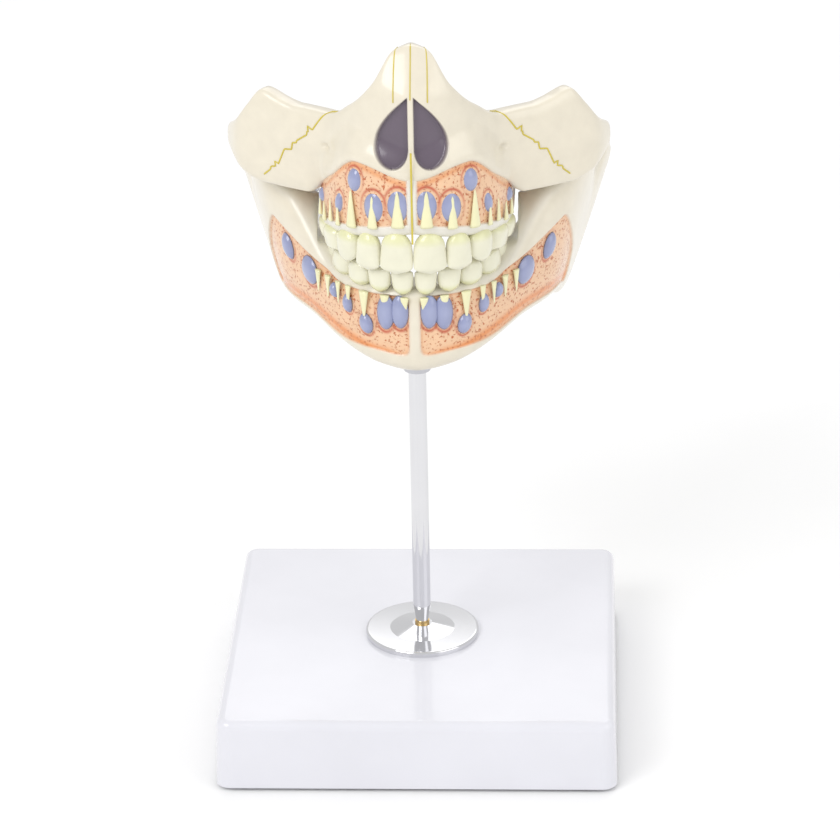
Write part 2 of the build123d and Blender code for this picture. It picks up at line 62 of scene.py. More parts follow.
# ---- Sizes shared with the solid model ----
chin_z = 94.4
bite_z = 125.0
lower_crest_z = 118.6
upper_crest_z = 135.4
arch_inset = 4.0
tooth_gap = 0.25
upper_arch = (24.2, -10.6, 27.2)
lower_arch = (22.4, -7.9, 24.8)
ridge_arch = (24.8, -10.9, 27.6)
ridge_wall = 9.6
ridge_back_y = 31.0
ridge_overlap = 2.4        # as far as the ridge runs up behind the face plate
buttress_size = (8.0, 9.5, 6.6)
buttress_place = (30.0, 26.5, 143.4)
palate_size = (16.5, 18.0, 6.0)
palate_place = (0.0, 12.5, 139.5)
palate_wall = 2.5
window_depth = 0.6
gum_width = 1.5            # plain bone between the lower teeth and the window under them
border_width = 2.6         # plain bone under the lower window
chin_border_extra = 2.4    # as much more of it at the chin
germ_margin = 1.5          # bone round a germ at a window's edge
jaw_length = 90.0          # round the lower jaw's face from the middle to the condyle
chin_lift = 1.6            # the border above the chin's underside: at the middle,
border_rise = 8.0          # at its hollow between chin and angle,
angle_lift = 1.4           # and at the angle
coronoid_y = 43.0
coronoid_rise = 44.0
notch_y = 53.0
notch_rise = 34.0
condyle_y = 60.0
condyle_rise = 40.4
ramus_rise = 16.0          # above the crest, beside the spring
ramus_end = 45.0           # how far round the face the ramus reaches that height
window_end = 66.0          # how far round the face the lower window ends
spring_x = 29.6
spring_y = 31.0
spring_room = 5.4          # radius of the room round a spring
spring_seat_z = chin_z + 25.6
teeth_side_x = 25.4        # the ramus stays outside this beside the upper teeth
nose_top_z = chin_z + 86.8
orbit_x = 23.0
orbit_low_z = chin_z + 65.2
tip_x = 39.5
tip_z = chin_z + 67.9
cheek_inner_x = 28.5
cheek_end_x = 49.5
cheek_low_z = chin_z + 42.8
nasal_low_z = chin_z + 57.4
nasal_height = 19.2
nasal_rim = 3.2            # plain bone under the nasal opening
crown_proud = 0.8          # how far the crowns stand out of the gum
crown_sunk = 1.3           # how far their rounded necks run into it
# name: width along the arch, thickness across it, root length, root count
upper_teeth = {
    "central_incisor": (7.0, 5.0, 9.5, 1),
    "lateral_incisor": (5.9, 4.7, 8.5, 1),
    "canine": (6.7, 5.8, 10.0, 1),
    "first_molar": (7.2, 7.6, 6.0, 2),
    "second_molar": (8.6, 8.6, 5.0, 2),
}
lower_teeth = {
    "central_incisor": (4.7, 4.2, 5.0, 1),
    "lateral_incisor": (5.2, 4.2, 5.0, 1),
    "canine": (6.0, 5.2, 7.5, 1),
    "first_molar": (7.6, 7.0, 6.0, 2),
    "second_molar": (9.2, 8.2, 6.0, 2),
}
# name: primary tooth, shift from its middle in tooth widths, height above the crest, width, height, tilt
upper_germs = {
    "central": ("central_incisor", 0.0, 7.0, 6.2, 9.0, 0),
    "lateral": ("lateral_incisor", 0.0, 6.0, 6.2, 8.5, -4),
    "canine": ("canine", -0.1, 12.0, 5.0, 6.5, -8),
    "first_premolar": ("first_molar", -0.25, 4.5, 3.5, 6.0, -12),
    "second_premolar": ("second_molar", 0.25, 2.5, 4.5, 4.0, -10),
}
lower_germs = {
    "central": ("central_incisor", 0.3, -5.5, 4.8, 9.0, 0),
    "lateral": ("lateral_incisor", 0.0, -6.0, 5.0, 9.5, -4),
    "canine": ("canine", 0.0, -10.0, 4.2, 5.5, 12),
    "first_premolar": ("first_molar", -0.15, -6.0, 3.2, 5.0, 4),
    "second_premolar": ("second_molar", -0.5, -4.0, 3.0, 4.0, 6),
    "first_molar": ("second_molar", 0.75, -2.5, 7.0, 7.5, 10),
    "second_molar": ("second_molar", 1.75, 1.0, 4.6, 7.0, 10),
}

# ---- Paint, linear light ----
bone_paint = (0.77, 0.71, 0.58)
gum_paint = (0.78, 0.75, 0.67)
tooth_paint = (0.80, 0.78, 0.61)
neck_paint = (0.76, 0.76, 0.40)
peach_paint = (0.84, 0.54, 0.33)
orange_paint = (0.78, 0.27, 0.07)
red_paint = (0.55, 0.10, 0.04)
germ_paint = (0.27, 0.30, 0.49)
# painted highlight: a lighter lilac for the middle of each germ dome, standing in for the light on its
# lacquer
germ_highlight_paint = (0.34, 0.37, 0.56)
root_paint = (0.84, 0.81, 0.50)
cavity_paint = (0.12, 0.09, 0.125)
suture_paint = (0.62, 0.50, 0.05)


# ------------------------------------------------------------ arithmetic of curves


def ease(low, high, value):
    """Smooth step: 0 below low, 1 above high, and a cubic with level ends between them."""
    t = np.clip((value - low) / (high - low), 0, 1)
    return t * t * (3 - 2 * t)


def through(keys, values, x):
    """Cubic through key points, level at a first key of 0.

    Each other slope is the harmonic mean of its two spans' slopes, or level at a peak or a hollow."""
    keys = np.asarray(keys, float)
    values = np.asarray(values, float)
    x = np.clip(np.asarray(x, float), keys[0], keys[-1])
    gap = np.diff(keys)
    rise = np.diff(values) / gap
    first = 0.0 if keys[0] == 0 else rise[0]
    slope = np.concatenate([[first], np.zeros(len(keys) - 2), [rise[-1]]])
    product = rise[:-1] * rise[1:]
    total = np.where(np.abs(rise[:-1] + rise[1:]) < 1e-9, 1, rise[:-1] + rise[1:])
    slope[1:-1] = np.where(product > 0, 2 * product / total, 0)
    i = np.clip(np.searchsorted(keys, x, side="right") - 1, 0, len(keys) - 2)
    t = (x - keys[i]) / gap[i]
    start = (2 * t**3 - 3 * t**2 + 1) * values[i] + (t**3 - 2 * t**2 + t) * gap[i] * slope[i]
    return start + (3 * t**2 - 2 * t**3) * values[i + 1] + (t**3 - t**2) * gap[i] * slope[i + 1]


def plan_line(corners, count=500):
    """Plan curve through a few points, level where it crosses the middle, as points an even distance apart.

    Returns the distance from the middle and the x and y there."""
    corners = np.asarray(corners, float)
    chord = np.concatenate([[0], np.cumsum(np.hypot(*np.diff(corners, axis=0).T))])
    mirrored_chord = np.concatenate([[-chord[1]], chord])
    t = np.linspace(0, chord[-1], 4000)
    x = through(mirrored_chord, np.concatenate([[-corners[1, 0]], corners[:, 0]]), t)
    y = through(mirrored_chord, np.concatenate([[corners[1, 1]], corners[:, 1]]), t)
    travelled = np.concatenate([[0], np.cumsum(np.hypot(np.diff(x), np.diff(y)))])
    even = np.linspace(0, travelled[-1], count)
    return even, np.interp(even, travelled, x), np.interp(even, travelled, y)


def arch_line(half_width, front_y, depth, back_y=60.0):
    """Quarter ellipse from the front of an arch to its side, then a straight arm back to back_y."""
    turn = np.linspace(0, np.pi / 2, 400)
    arm = np.linspace(0, max(1.0, back_y - front_y - depth), 100)[1:]
    x = np.concatenate([half_width * np.sin(turn), np.full(99, half_width)])
    y = np.concatenate([front_y + depth * (1 - np.cos(turn)), front_y + depth + arm])
    travelled = np.concatenate([[0], np.cumsum(np.hypot(np.diff(x), np.diff(y)))])
    return travelled, x, y


def on_line(line, distance):
    """Point and outward direction at signed distances round a plan line; minus is the -X side."""
    travelled, x, y = line
    side = np.where(np.asarray(distance) < 0, -1.0, 1.0)
    far = np.abs(distance)
    px = np.interp(far, travelled, x)
    py = np.interp(far, travelled, y)
    ahead_x = np.interp(far + 0.2, travelled, x) - np.interp(far - 0.2, travelled, x)
    ahead_y = np.interp(far + 0.2, travelled, y) - np.interp(far - 0.2, travelled, y)
    size = np.maximum(np.hypot(ahead_x, ahead_y), 1e-9)
    return side * px, py, side * ahead_y / size, -ahead_x / size


def section(count_out, count_in, round_across, round_up):
    """Closed section of a jaw: up its outer side, then down its inner side, closer points at its corners.

    Height runs from -1 to 1, and the reach across is (1 - |height| ** round_up) ** (1 / round_across)."""
    heights = []
    for count, way in ((count_out, 1), (count_in, -1)):
        even = way * np.linspace(-1, 1, count, endpoint=False)
        heights.append(np.sign(even) * (1 - (1 - np.abs(even)) ** 1.5))
    height = np.concatenate(heights)
    reach = np.clip(1 - np.abs(height) ** round_up, 0, 1) ** (1 / round_across)
    reach[count_out:] *= -1
    return reach[None], height[None]


def mix(base, other, share):
    """Colour array part of the way from base to other."""
    share = np.asarray(share)[..., None]
    return base * (1 - share) + np.asarray(other, float) * share


# ------------------------------------------------------------ meshes and materials


def joined(name, grids, material, body, stands_for=()):
    """One piece from closed grids of points (rows, columns, 3) in mm, each with its paint and pore share.

    A grid's columns run round it, and its first and last rows are closed with a fan. Its faces are turned
    over when the volume that they close, a sixth of the sum of their triple products, is below 0."""
    verts = []
    faces = []
    paints = []
    pores = []
    start = 0
    for points, paint, pore in grids:
        rows, columns = points.shape[:2]
        index = np.arange(rows * columns).reshape(rows, columns) + start
        right = np.roll(index, -1, axis=1)
        quads = np.stack([index[:-1], right[:-1], right[1:], index[1:]], -1).reshape(-1, 4)
        piece_points = [points.reshape(-1, 3)]
        first = start
        start += rows * columns
        paints.append(np.broadcast_to(paint, (rows, columns, 3)).reshape(-1, 3))
        pores.append(np.broadcast_to(pore, (rows, columns)).reshape(-1))
        edge_paint = np.broadcast_to(paint, (rows, columns, 3)).mean(1)
        fans = []
        for row, order in ((0, 1), (rows - 1, -1)):
            piece_points.append(points[row].mean(0)[None])
            paints.append(edge_paint[row][None])
            pores.append(np.zeros(1))
            ring = index[row][::order]
            fans.append(np.stack([np.roll(ring, -1), ring, np.full(columns, start)], -1))
            start += 1
        triangles = np.concatenate([quads[:, [0, 1, 2]], quads[:, [0, 2, 3]], *fans]) - first
        corners = np.concatenate(piece_points)[triangles]
        volume = np.einsum("ij,ij->", corners[:, 0], np.cross(corners[:, 1], corners[:, 2]))
        way = -1 if volume < 0 else 1
        for group in (quads, *fans):
            faces += group[:, ::way].tolist()
        verts += piece_points
    mesh = bpy.data.meshes.new(name)
    mesh.from_pydata((np.concatenate(verts) * to_metres).tolist(), [], faces)
    colours = np.concatenate(paints)
    layer = mesh.attributes.new("paint", "FLOAT_COLOR", "POINT")
    layer.data.foreach_set("color", np.c_[colours, np.ones(len(colours))].astype(np.float32).ravel())
    spots = mesh.attributes.new("pores", "FLOAT", "POINT")
    spots.data.foreach_set("value", np.concatenate(pores).astype(np.float32))
    mesh.polygons.foreach_set("use_smooth", np.ones(len(mesh.polygons), bool))
    mesh.update()
    piece = bpy.data.objects.new(name, mesh)
    bpy.context.scene.collection.objects.link(piece)
    piece.data.materials.append(material)
    if body:
        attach(piece, body)
    if stands_for:
        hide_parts(*stands_for)
    return piece


def blank_material(name, roughness, metallic=0.0, coat=0.0, colour=(0.8, 0.8, 0.8)):
    """A material with its uniform values on the shader's own sockets."""
    material = bpy.data.materials.new(name)
    material.use_nodes = True
    shader = material.node_tree.nodes["Principled BSDF"]
    shader.inputs["Base Color"].default_value = (*colour, 1)
    shader.inputs["Roughness"].default_value = roughness
    shader.inputs["Metallic"].default_value = metallic
    shader.inputs["Coat Weight"].default_value = coat
    shader.inputs["Coat Roughness"].default_value = 0.08
    return material, material.node_tree, shader


def noise_on(tree, scale, detail=3.0):
    """Noise on Object coordinates, scale in waves per metre."""
    place = tree.nodes.new("ShaderNodeTexCoord")
    noise = tree.nodes.new("ShaderNodeTexNoise")
    noise.inputs["Scale"].default_value = scale
    noise.inputs["Detail"].default_value = detail
    tree.links.new(place.outputs["Object"], noise.inputs["Vector"])
    return noise


def add_bump(tree, shader, height, strength, distance):
    """Surface relief from a height output."""
    bump = tree.nodes.new("ShaderNodeBump")
    bump.inputs["Strength"].default_value = strength
    bump.inputs["Distance"].default_value = distance
    tree.links.new(height, bump.inputs["Height"])
    tree.links.new(bump.outputs["Normal"], shader.inputs["Normal"])


def painted_resin(name, roughness, coat):
    """Lacquered resin in the hand paint, with brush mottling, and pores where the bone is cut open."""
    material, tree, shader = blank_material(name, roughness, coat=coat)
    paint = tree.nodes.new("ShaderNodeAttribute")
    paint.attribute_name = "paint"
    where = tree.nodes.new("ShaderNodeAttribute")
    where.attribute_name = "pores"
    mottle = noise_on(tree, 260.0)
    tint = tree.nodes.new("ShaderNodeMapRange")
    tint.inputs["To Min"].default_value = 0.92
    tint.inputs["To Max"].default_value = 1.06
    tree.links.new(mottle.outputs["Fac"], tint.inputs["Value"])
    shaded = tree.nodes.new("ShaderNodeVectorMath")
    shaded.operation = "SCALE"
    tree.links.new(paint.outputs["Color"], shaded.inputs[0])
    tree.links.new(tint.outputs["Result"], shaded.inputs["Scale"])
    sponge = noise_on(tree, 1400.0, 3.0)
    pore = tree.nodes.new("ShaderNodeMapRange")
    pore.inputs["From Min"].default_value = 0.56
    pore.inputs["From Max"].default_value = 0.66
    tree.links.new(sponge.outputs["Fac"], pore.inputs["Value"])
    share = tree.nodes.new("ShaderNodeMath")
    share.operation = "MULTIPLY"
    tree.links.new(pore.outputs["Result"], share.inputs[0])
    tree.links.new(where.outputs["Fac"], share.inputs[1])
    spotted = tree.nodes.new("ShaderNodeMix")
    spotted.data_type = "RGBA"
    colour_b = [s for s in spotted.inputs if s.name == "B" and s.type == "RGBA"][0]
    colour_a = [s for s in spotted.inputs if s.name == "A" and s.type == "RGBA"][0]
    colour_out = [s for s in spotted.outputs if s.type == "RGBA"][0]
    colour_b.default_value = (0.55, 0.14, 0.04, 1)
    tree.links.new(share.outputs["Value"], spotted.inputs[0])
    tree.links.new(shaded.outputs["Vector"], colour_a)
    tree.links.new(colour_out, shader.inputs["Base Color"])
    dip = tree.nodes.new("ShaderNodeMath")
    dip.operation = "SUBTRACT"
    dip.inputs[0].default_value = 1.0
    tree.links.new(share.outputs["Value"], dip.inputs[1])
    add_bump(tree, shader, dip.outputs["Value"], 0.5, 0.0004)
    return material


def plain_finish(name, colour, roughness, metallic=0.0, coat=0.0, grain=300.0, relief=0.05):
    """A moulded, plated or turned finish: faint uneven colour and a fine grain."""
    material, tree, shader = blank_material(name, roughness, metallic, coat, colour)
    grain_noise = noise_on(tree, grain)
    ramp = tree.nodes.new("ShaderNodeValToRGB")
    ramp.color_ramp.elements[0].color = (*[0.94 * c for c in colour], 1)
    ramp.color_ramp.elements[1].color = (*[min(1.0, 1.05 * c) for c in colour], 1)
    tree.links.new(grain_noise.outputs["Fac"], ramp.inputs["Fac"])
    tree.links.new(ramp.outputs["Color"], shader.inputs["Base Color"])
    add_bump(tree, shader, grain_noise.outputs["Fac"], relief, 0.0002)
    return material


finishes = {
    "resin": painted_resin("painted_resin", 0.30, 0.5),
    "enamel": painted_resin("tooth_lacquer", 0.24, 0.6),
    "germ": painted_resin("germ_lacquer", 0.16, 0.8),
    "base_white": plain_finish(
        "moulded_white", (0.74, 0.74, 0.79), 0.22, coat=0.4, grain=40.0, relief=0.02
    ),
    "cover_grey": plain_finish("hardboard", (0.30, 0.30, 0.31), 0.75, grain=900.0, relief=0.3),
    "foot_rubber": plain_finish("soft_rubber", (0.02, 0.02, 0.02), 0.8, grain=900.0, relief=0.2),
    "chrome": plain_finish("chrome_plate", (0.74, 0.74, 0.76), 0.09, metallic=1.0, grain=60.0, relief=0.01),
    "brass": plain_finish("turned_brass", (0.66, 0.46, 0.20), 0.25, metallic=1.0, grain=500.0, relief=0.05),
    "zinc_steel": plain_finish(
        "zinc_plate", (0.55, 0.55, 0.58), 0.32, metallic=1.0, grain=500.0, relief=0.06
    ),
    "spring_steel": plain_finish(
        "spring_wire", (0.52, 0.52, 0.55), 0.28, metallic=1.0, grain=500.0, relief=0.05
    ),
}


# ------------------------------------------------------------ teeth and germs


def tooth_middles(teeth):
    """How far round the arch each tooth's middle is, with the teeth side by side."""
    middles = {}
    travelled = tooth_gap / 2
    for kind, (width, *_) in teeth.items():
        middles[kind] = travelled + width / 2
        travelled += width + tooth_gap
    return middles


def germ_list(germs, teeth):
    """Each germ's distance round the jaw's face, height above the crest, half width, half height and tilt."""
    middles = tooth_middles(teeth)
    return [
        (middles[tooth] + shift * teeth[tooth][0], up, width / 2, height / 2, math.radians(tilt))
        for tooth, shift, up, width, height, tilt in germs.values()
    ]


def crown_grid(kind, width, thickness, height, out_shift):
    """Crown as rounded rings from its neck at 0 to its biting edge at height.

    Each ring is a superellipse. Its width swells with the sine of its height, and its thickness narrows to
    a blade on front teeth and stays broad, with four cusps, on molars. The rings close at both ends, as the
    square root of one minus the square of the way past the neck or the shoulder."""
    rows, columns = 40, 48
    up = np.linspace(0, 1, rows)[:, None]
    angle = np.linspace(0, 2 * np.pi, columns, endpoint=False)[None]
    molar = "molar" in kind
    power = 0.8 if molar else 1.0
    swell = 0.70 + 0.30 * np.sin(np.pi * (0.08 + 0.6 * up))
    if kind == "canine":
        swell = 0.86 + 0.14 * np.sin(np.pi * up) - 0.45 * ease(0.6, 1.0, up)
    if molar:
        blade = through([0, 0.4, 1], [0.9, 1.0, 0.78], up)
    else:
        blade = through([0, 0.35, 1], [0.92, 1.0, 0.3], up)
    neck = np.sqrt(np.clip(1 - np.clip(1 - up / 0.3, 0, 1) ** 2, 0, 1))
    close = neck * np.sqrt(np.clip(1 - ease(0.78, 1.0, up) ** 2, 0, 1))
    across = np.sign(np.cos(angle)) * np.abs(np.cos(angle)) ** power
    through_way = np.sign(np.sin(angle)) * np.abs(np.sin(angle)) ** power
    x = 0.5 * width * swell * close * across
    y = 0.5 * thickness * blade * close * through_way - out_shift * (1 - blade) * (0 if molar else 1)
    cusps = 0.05 * height * np.cos(2 * angle) ** 2 * ease(0.6, 0.95, up) if molar else 0
    z = height * (up ** 0.9) + cusps + 0 * x
    return np.stack([x, y, z], -1), up + 0 * x


def root_grid(width, length):
    """Tapered root: rings whose radius falls with the square root of the way left to the tip."""
    rows, columns = 14, 16
    down = np.linspace(0, 1, rows)[:, None]
    angle = np.linspace(0, 2 * np.pi, columns, endpoint=False)[None]
    radius = 0.5 * width * np.sqrt(np.clip(1 - down, 0, 1)) * (1 - 0.35 * down)
    x = radius * np.cos(angle)
    y = 0.55 * radius * np.sin(angle)
    return np.stack([x, y, -length * down + 0 * x], -1)


def placed(points, x, y, out_x, out_y, neck_z, up):
    """Turns a piece made with its outer face towards -Y to face out_x, out_y, and sets it at its neck."""
    side_x, side_y = -out_y, out_x
    px = x + points[..., 0] * side_x - points[..., 1] * out_x
    py = y + points[..., 0] * side_y - points[..., 1] * out_y
    return np.stack([px, py, neck_z + up * points[..., 2]], -1)


def crest_height(upper, distance):
    """Gum line round each jaw: the upper one sinks towards the back and the lower one rises."""
    if upper:
        return upper_crest_z - 0.6 - 0.15 * distance
    return lower_crest_z + 0.2 + 0.02 * distance


def make_teeth(jaw, teeth, arch, body):
    """Each tooth as its crown and its roots, the roots lying just proud of the window they show in."""
    upper = jaw == "upper"
    up = -1 if upper else 1
    half_width, front_y, depth = arch
    centres = arch_line(half_width - arch_inset, front_y + arch_inset, depth - arch_inset)
    face = arch_line(*ridge_arch) if upper else None
    middles = tooth_middles(teeth)
    for side_name, side in (("left", 1), ("right", -1)):
        for kind, (width, thickness, root_length, root_count) in teeth.items():
            middle = middles[kind]
            neck = crest_height(upper, middle)
            x, y, out_x, out_y = on_line(centres, side * middle)
            shift = arch_inset - thickness / 2 + crown_proud
            height = crown_sunk + abs(neck - bite_z) + (0.7 if upper and "molar" not in kind else -0.15)
            points, climb = crown_grid(kind, 1.2 * width, thickness, height, 0.3 * thickness)
            sunk_neck = neck - up * crown_sunk
            crown = placed(points, x + shift * out_x, y + shift * out_y, out_x, out_y, sunk_neck, up)
            near_neck = 0.7 * (1 - ease(0.12, 0.34, climb))
            paint = mix(np.broadcast_to(tooth_paint, points.shape), neck_paint, near_neck)
            grids = [(crown, paint, 0.0)]
            for i in range(root_count):
                along = side * (middle + (i - (root_count - 1) / 2) * 0.5 * width)
                if upper:
                    rx, ry, ox, oy = on_line(face, along)
                else:
                    rx, ry, ox, oy = mandible_face(along, neck - 2.5)
                shape = root_grid((0.48 if root_count == 1 else 0.24) * width, root_length)
                root = placed(shape, rx, ry, ox, oy, neck - up * (2.9 if upper else 1.6), up)
                grids.append((root, root_paint, 0.0))
            name = f"{jaw}_{side_name}_{kind}"
            joined(name + "_lacquered", grids, finishes["enamel"], body, [name])


def germ_dome(surface, distance, height, half_width, half_height, tilt):
    """Oval dome on a jaw's face: rings from its middle to its rim, rising as one minus the radius squared."""
    ring = np.linspace(0.02, 1, 16)[:, None]
    angle = np.linspace(0, 2 * np.pi, 40, endpoint=False)[None]
    a = half_width * ring * np.cos(angle)
    b = half_height * ring * np.sin(angle)
    along = distance + a * math.cos(tilt) + b * math.sin(tilt)
    z = height - a * math.sin(tilt) + b * math.cos(tilt)
    rise = 0.9 * (1 - ring ** 2) - 0.5 * ring ** 6
    x, y, out_x, out_y = surface(along, z)
    return np.stack([x + rise * out_x, y + rise * out_y, z + 0 * x], -1), ring + 0 * a


def make_germs(jaw, germs, teeth, crest_z, surface, body):
    """The two groups of lacquered tooth germs set in one jaw's windows."""
    for side_name, side in (("left", 1), ("right", -1)):
        grids = []
        for along, up, half_width, half_height, tilt in germ_list(germs, teeth):
            size = (half_width, half_height, side * tilt)
            points, ring = germ_dome(surface, side * along, crest_z + up, *size)
            # painted highlight: each germ turns lighter towards its middle, as if lit on its crown
            paint = mix(np.broadcast_to(germ_paint, points.shape), germ_highlight_paint, 1 - ring)
            grids.append((points, paint, 0.0))
        name = f"{jaw}_{side_name}_germs"
        joined(name + "_lacquered", grids, finishes["germ"], body, [name])


# ------------------------------------------------------------ lower jaw

chin_plan = [(0, -8.2), (10, -5.6), (18.4, 0.4), (26.8, 11.8)]
low_line = plan_line([*chin_plan, (34, 28.6), (37.2, 48.5), (40, 60)])
high_line = plan_line([*chin_plan, (41.5, 28.6), (50, 56), (52.5, 66)])


def mandible_face(distance, z):
    """Point and outward direction on the lower jaw's outer face.

    The plan at its border is blended to the plan at its top by height."""
    share = np.clip((z - chin_z + 1) / 46.6, 0, 1)
    low = on_line(low_line, np.asarray(distance) * low_line[0][-1] / jaw_length)
    high = on_line(high_line, np.asarray(distance) * high_line[0][-1] / jaw_length)
    x, y, out_x, out_y = (a * (1 - share) + b * share for a, b in zip(low, high))
    size = np.hypot(out_x, out_y)
    return x, y, out_x / size, out_y / size


def along_at(y):
    """How far round the face the plan at the jaw's top passes y."""
    return np.interp(y, high_line[2], high_line[0]) * jaw_length / high_line[0][-1]


def mandible_top(s):
    """Crest to the second molar, the climb of the ramus, the coronoid tip, the notch and the condyle."""
    ramus_start = tooth_middles(lower_teeth)["second_molar"] - 2.0
    tips = [along_at(y) for y in (coronoid_y, notch_y, condyle_y)]
    where = [0, ramus_start, ramus_end, *tips, jaw_length]
    rises = [coronoid_rise, notch_rise, condyle_rise, condyle_rise - 5.0]
    crest = [lower_crest_z + 0.3, lower_crest_z + 1.0, lower_crest_z + ramus_rise]
    return through(where, crest + [chin_z + rise for rise in rises], s)


def mandible_border(s):
    """Chin, the hollow of the lower border, the angle, and the back edge up to the condyle."""
    shares = [0, 0.45, 0.66, 0.85, 0.92, 1]
    rises = [chin_lift, border_rise, border_rise - 1.0, angle_lift, angle_lift + 8.0, condyle_rise - 5.0]
    return through([jaw_length * share for share in shares], [chin_z + rise for rise in rises], s)


def window_share(s, z):
    """Above 0 inside the lower window, in mm from its nearest edge, with rounded corners.

    Its top keeps gum_width under the necks to the first molar, then climbs as the distance to the power 1.5
    to clear the rear germ. Its bottom follows the border, and its front and rear edges are straight."""
    molar = tooth_middles(lower_teeth)["first_molar"]
    rear, rear_up, _, rear_half_height, _ = germ_list(lower_germs, lower_teeth)[-1]
    climb = rear_up + rear_half_height + germ_margin + gum_width
    share = np.clip((s - molar) / (rear - molar), 0, None)
    from_top = lower_crest_z - gum_width + climb * share ** 1.5 - z
    from_border = z - mandible_border(s) - border_width - chin_border_extra * (1 - ease(8, 26, s))
    from_middle = s - 1.3
    from_rear = window_end - s - 0.35 * (z - chin_z - 12.0)
    behind_germ = lower_crest_z + climb + 1.0 - 1.1 * np.clip(s - rear - 5.0, 0, None) - z
    sides = np.stack(np.broadcast_arrays(from_top, from_border, from_middle, from_rear, behind_germ))
    return -np.log(np.exp(-1.1 * np.clip(sides, -12, 12)).sum(0)) / 1.1


def clear_of_spring(x, y, z):
    """x moved outwards from the upper teeth's side, and from the room round a spring.

    The room is half a cylinder on the outer side of the spring, open towards the mouth."""
    far = np.abs(x)
    beside_teeth = ease(122.0, 124.5, z) * ease(3.0, 9.0, y) * (y < spring_y)
    far = far + beside_teeth * np.clip(teeth_side_x - far, 0, None)
    room = np.clip(spring_room**2 - (y - spring_y) ** 2, 0, None)
    pushed = np.maximum(far, spring_x + np.sqrt(room))
    far = np.where((room > 0) & (z > spring_seat_z), pushed, far)
    return np.sign(x) * far


def make_mandible():
    """The lower jaw as one closed band: a rounded box section carried round the plan of the jaw."""
    rows = 460
    u = np.sin(np.linspace(-0.5, 0.5, rows) * np.pi * 0.96) / math.sin(0.48 * np.pi)
    u = 0.55 * u + 0.45 * np.linspace(-1, 1, rows)
    along = (jaw_length * u)[:, None]
    s = np.abs(along)
    across, lift = section(136, 52, 4.4, 3.2)
    top = mandible_top(s)
    border = mandible_border(s)
    z = 0.5 * (top + border) + 0.5 * (top - border) * lift
    x, y, out_x, out_y = mandible_face(along, z)
    wall = through([0, 20, 34, 50, 70, 90], [13.5, 13.0, 13.0, 12.5, 7.4, 8.5], s)
    end = np.sqrt(np.clip(1 - ease(0.975, 1.0, s / jaw_length) ** 2, 0.02, 1))
    depth = 0.5 * wall * (1 - across * end)
    outer = ease(0.3, 0.8, across)
    inside = window_share(s, z)
    depth = depth + window_depth * ease(-0.15, 0.45, inside) * outer
    px = x - depth * out_x
    py = y - depth * out_y
    points = np.stack([clear_of_spring(px, py, z), py, z], -1)
    paint = np.broadcast_to(bone_paint, points.shape)
    paint = mix(paint, gum_paint, 0.7 * ease(-3.0, -0.5, z - top))
    window = ease(0.0, 0.5, inside) * outer
    paint = mix(paint, peach_paint, window)
    band = np.exp(-(((z - mandible_border(s)) - 2.2 - border_width) / 1.3) ** 2) * ease(3, 8, s)
    paint = mix(paint, orange_paint, 0.95 * band * window)
    rim = np.exp(-((inside - 0.35) / 0.35) ** 2) * outer
    paint = mix(paint, orange_paint, 0.35 * rim)
    germs = germ_list(lower_germs, lower_teeth)
    paint = ring_round_germs(paint, along, z, germs, lower_crest_z, window, -1)
    pores = window * (1 - 0.4 * band)
    grid = (points, paint, pores)
    joined("mandible_painted", [grid], finishes["resin"], "lower_jaw", ["mandible"])


def ring_round_germs(paint, along, z, places, crest_z, window, strong_end):
    """A red line round each germ, darkest at the end of it that strong_end points to."""
    s = np.abs(along)
    for distance, up, half_width, half_height, tilt in places:
        a = (s - distance) * math.cos(tilt) - (z - crest_z - up) * math.sin(tilt)
        b = (s - distance) * math.sin(tilt) + (z - crest_z - up) * math.cos(tilt)
        radius = np.hypot(a / (half_width + 0.35), b / (half_height + 0.35))
        line = np.exp(-((radius - 1.06) / 0.09) ** 2)
        end = 0.55 + 0.45 * np.clip(strong_end * b / half_height, -0.6, 1)
        paint = mix(paint, red_paint, line * end * window)
    return paint


# ------------------------------------------------------------ upper jaw

face_line = plan_line([(0, -9.2), (6, -7.6), (12.3, -3.6), (22.4, 8.0), (36, 16.5), (46, 24), (49.5, 34)])
ridge_line = arch_line(*ridge_arch, back_y=ridge_back_y)


plate_across = 5.0
plate_up = 2.7


def ridge_face(distance, z):
    """Point and outward direction on the floor of the upper windows."""
    x, y, out_x, out_y = on_line(ridge_line, distance)
    level = 0 * np.asarray(z)
    return x - window_depth * out_x + level, y - window_depth * out_y + level, out_x, out_y


def face_top(x):
    """Upper outline of the face plate: nose, eye socket, cheek process, and down the outer edge."""
    cheek = [tip_x - 9, tip_x - 4.5, tip_x, tip_x + 4, cheek_end_x]
    cheek_heights = [orbit_low_z + 0.1, tip_z - 1.6, tip_z, tip_z - 4.5, tip_z - 14]
    nose = [nose_top_z, nose_top_z - 1.0, nose_top_z - 9.2, orbit_low_z + 5.4, orbit_low_z]
    where = [0, 4.5, 10.5, 16.5, orbit_x, *cheek]
    heights = [*nose, *cheek_heights]
    return through(where, heights, x)


def face_bottom(x):
    """Lower outline: nasal_rim under the opening, germ_margin over the canine germ, then the cheek bones."""
    germ_at, germ_up, _, germ_half_height, _ = germ_list(upper_germs, upper_teeth)[2]
    germ_x = float(on_line(ridge_line, germ_at)[0])
    over_germ = upper_crest_z + germ_up + germ_half_height + germ_margin
    where = [0, germ_x, cheek_inner_x, tip_x, cheek_end_x - 4.5, cheek_end_x]
    cheek = [cheek_low_z, cheek_low_z, cheek_low_z + 1.6, cheek_low_z + 5.4]
    heights = [nasal_low_z - nasal_rim, over_germ, *cheek]
    return through(where, heights, x)


